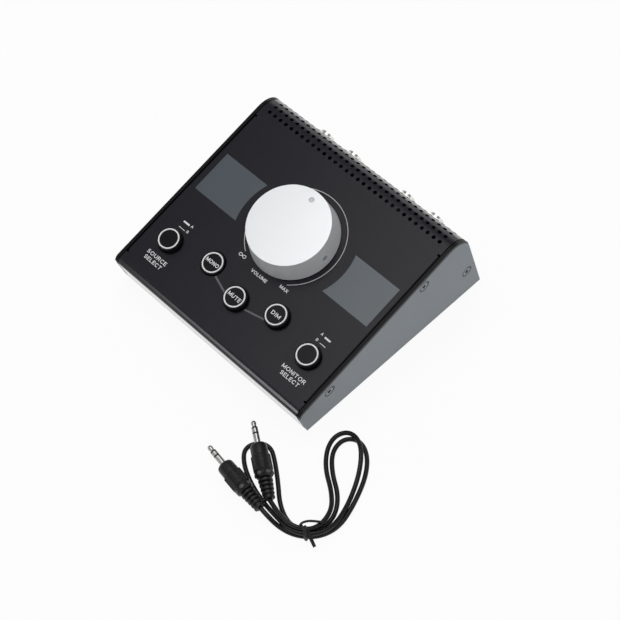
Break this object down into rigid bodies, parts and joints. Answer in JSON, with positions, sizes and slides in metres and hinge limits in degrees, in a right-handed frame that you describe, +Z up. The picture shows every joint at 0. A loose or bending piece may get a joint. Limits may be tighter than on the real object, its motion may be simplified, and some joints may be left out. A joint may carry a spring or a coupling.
{
  "type": "studio monitor controller",
  "caption": "Sloping desktop box of folded steel with a large metal volume knob, ring-marked push buttons, vents on the rear bend, rear jack sockets and a tied patch lead.",
  "frame": {"origin": "on the desk, under the middle of the box without its patch lead", "axes": "+Z up, +X to the right of someone facing the panel, +Y towards the rear sockets"},
  "size_m": [0.2018, 0.1938, 0.0674],
  "materials": {
    "black_steel": "fine matt powder coat",
    "grey_steel": "satin grey powder coat",
    "rim_black": "satin",
    "screw_steel": "satin zinc",
    "nut_steel": "bright nickel",
    "foot_rubber": "matt",
    "circuit_board": "solder mask",
    "brass": "turned",
    "resistor_black": "matt",
    "moulded_black": "moulded",
    "contact_tin": "tinned",
    "knob_aluminium": "spun top, brushed side",
    "button_black": "satin moulded",
    "plunger_white": "moulded",
    "spring_steel": "drawn wire",
    "lead_black": "satin jacket",
    "pin_metal": "nickel plate",
    "tie_black": "matt"
  },
  "bodies": {
    "root": {"top_cover": "black_steel", "base_tray": "grey_steel", "rubber_feet": "foot_rubber", "edge_trim_left": "rim_black", "edge_trim_right": "rim_black", "side_screws": "screw_steel", "cover_inserts": "screw_steel", "control_board": "circuit_board", "board_standoffs": "brass", "board_screws": "screw_steel", "resistors": "resistor_black", "link_header": "moulded_black", "jack_left_outer_upper": "moulded_black", "jack_left_outer_lower": "moulded_black", "jack_left_inner_upper": "moulded_black", "jack_left_inner_lower": "moulded_black", "jack_right_outer_upper": "moulded_black", "jack_right_outer_lower": "moulded_black", "jack_right_inner_upper": "moulded_black", "jack_right_inner_lower": "moulded_black", "jack_board": "circuit_board", "jack_contacts": "contact_tin", "jack_washers": "nut_steel", "jack_nuts": "nut_steel", "mini_jack": "moulded_black", "mini_jack_nut": "nut_steel", "pot_body": "moulded_black", "pot_washer": "nut_steel", "pot_nut": "nut_steel", "switch_source": "moulded_black", "spring_source": "spring_steel", "switch_mono": "moulded_black", "spring_mono": "spring_steel", "switch_mute": "moulded_black", "spring_mute": "spring_steel", "switch_dim": "moulded_black", "spring_dim": "spring_steel", "switch_monitor": "moulded_black", "spring_monitor": "spring_steel", "lead_cord": "lead_black", "plug_a_body": "lead_black", "plug_a_contact": "pin_metal", "plug_b_body": "lead_black", "plug_b_contact": "pin_metal", "cable_tie": "tie_black"},
    "knob": {"knob_shell": "knob_aluminium", "knob_hub": "moulded_black", "knob_set_screw": "screw_steel", "pot_shaft": "brass"},
    "source_button": {"button_source": "button_black", "plunger_source": "plunger_white"},
    "mono_button": {"button_mono": "button_black", "plunger_mono": "plunger_white"},
    "mute_button": {"button_mute": "button_black", "plunger_mute": "plunger_white"},
    "dim_button": {"button_dim": "button_black", "plunger_dim": "plunger_white"},
    "monitor_button": {"button_monitor": "button_black", "plunger_monitor": "plunger_white"}
  },
  "joints": [
    {"name": "volume", "type": "hinge", "parent": "root", "child": "knob", "pos_m": [0, -0.00345, 0.04531], "axis": [0, -0.2965, 0.955], "range_deg": [-150, 150]},
    {"name": "source_press", "type": "slide", "parent": "root", "child": "source_button", "axis": [0, -0.2965, 0.955], "range_m": [-0.0025, 0], "stiffness_N_per_m": 400, "springref_m": 0.0005, "deforming": ["spring_source"]},
    {"name": "mono_press", "type": "slide", "parent": "root", "child": "mono_button", "axis": [0, -0.2965, 0.955], "range_m": [0, 0.0025], "deforming": ["spring_mono"]},
    {"name": "mute_press", "type": "slide", "parent": "root", "child": "mute_button", "axis": [0, -0.2965, 0.955], "range_m": [-0.0025, 0], "stiffness_N_per_m": 400, "springref_m": 0.0005, "deforming": ["spring_mute"]},
    {"name": "dim_press", "type": "slide", "parent": "root", "child": "dim_button", "axis": [0, -0.2965, 0.955], "range_m": [-0.0025, 0], "stiffness_N_per_m": 400, "springref_m": 0.0005, "deforming": ["spring_dim"]},
    {"name": "monitor_press", "type": "slide", "parent": "root", "child": "monitor_button", "axis": [0, -0.2965, 0.955], "range_m": [-0.0025, 0], "stiffness_N_per_m": 400, "springref_m": 0.0005, "deforming": ["spring_monitor"]}
  ]
}
